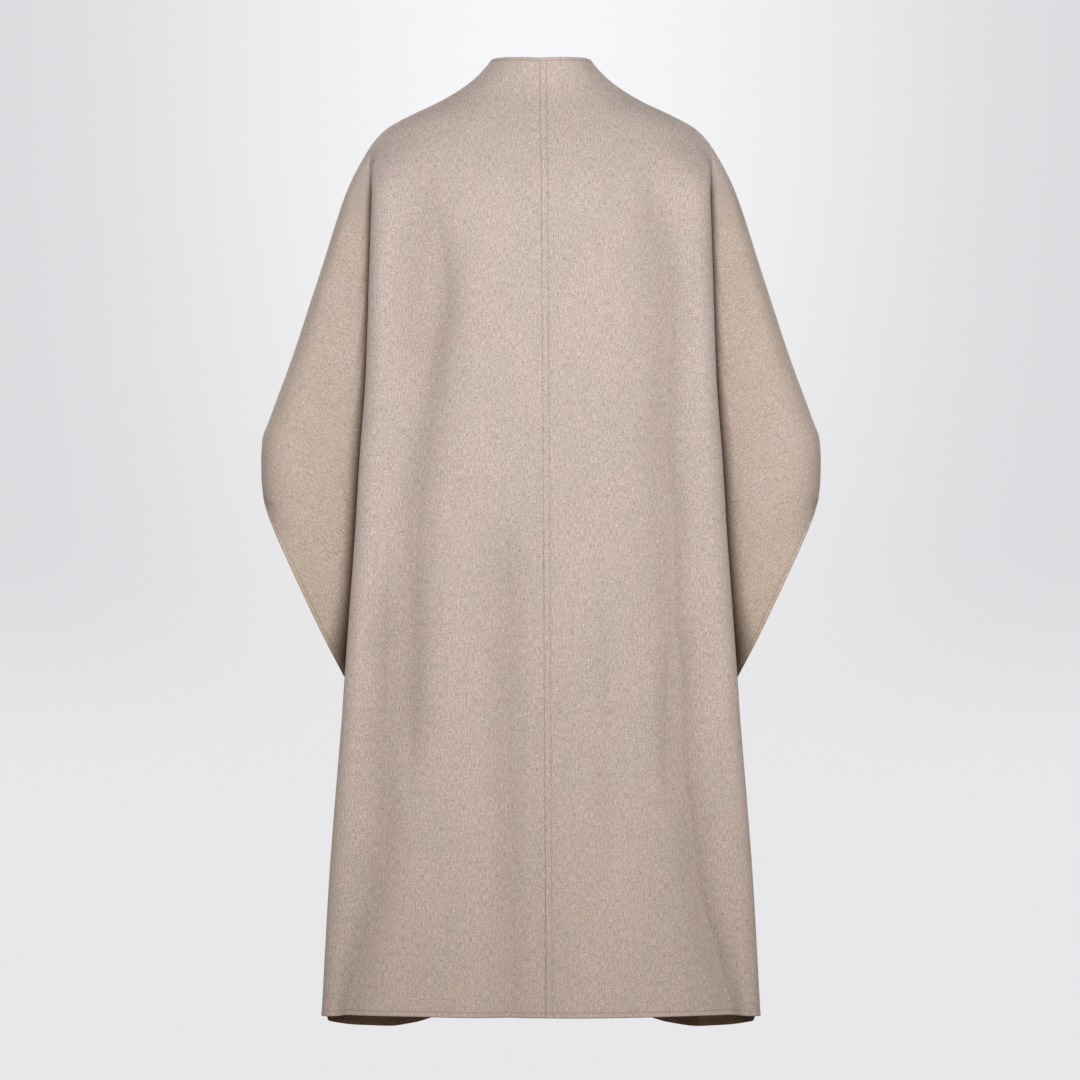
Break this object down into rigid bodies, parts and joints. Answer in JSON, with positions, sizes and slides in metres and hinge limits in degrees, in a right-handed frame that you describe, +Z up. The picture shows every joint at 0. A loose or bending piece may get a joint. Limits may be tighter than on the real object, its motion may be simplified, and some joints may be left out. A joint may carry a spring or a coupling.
{
  "type": "wool cape",
  "caption": "Long open-front wool cape with a grown-on funnel collar, cape wings over the arms and open cuffs, worn shape held hollow.",
  "frame": {"origin": "middle of the neck opening, level with the foot of the collar, where a wearer's neck and shoulders hold the cape up", "axes": "+Z up the garment, -Y out of its front, +X towards the wearer's left"},
  "size_m": [0.6822, 0.2794, 1.1894],
  "materials": {
    "back_left_wool": "brushed double-faced wool, oatmeal melange",
    "back_right_wool": "brushed double-faced wool, oatmeal melange",
    "front_left_wool": "brushed double-faced wool, oatmeal melange",
    "front_right_wool": "brushed double-faced wool, oatmeal melange"
  },
  "bodies": {
    "root": {"back_left": "back_left_wool", "back_right": "back_right_wool", "front_left": "front_left_wool", "front_right": "front_right_wool"}
  },
  "joints": []
}
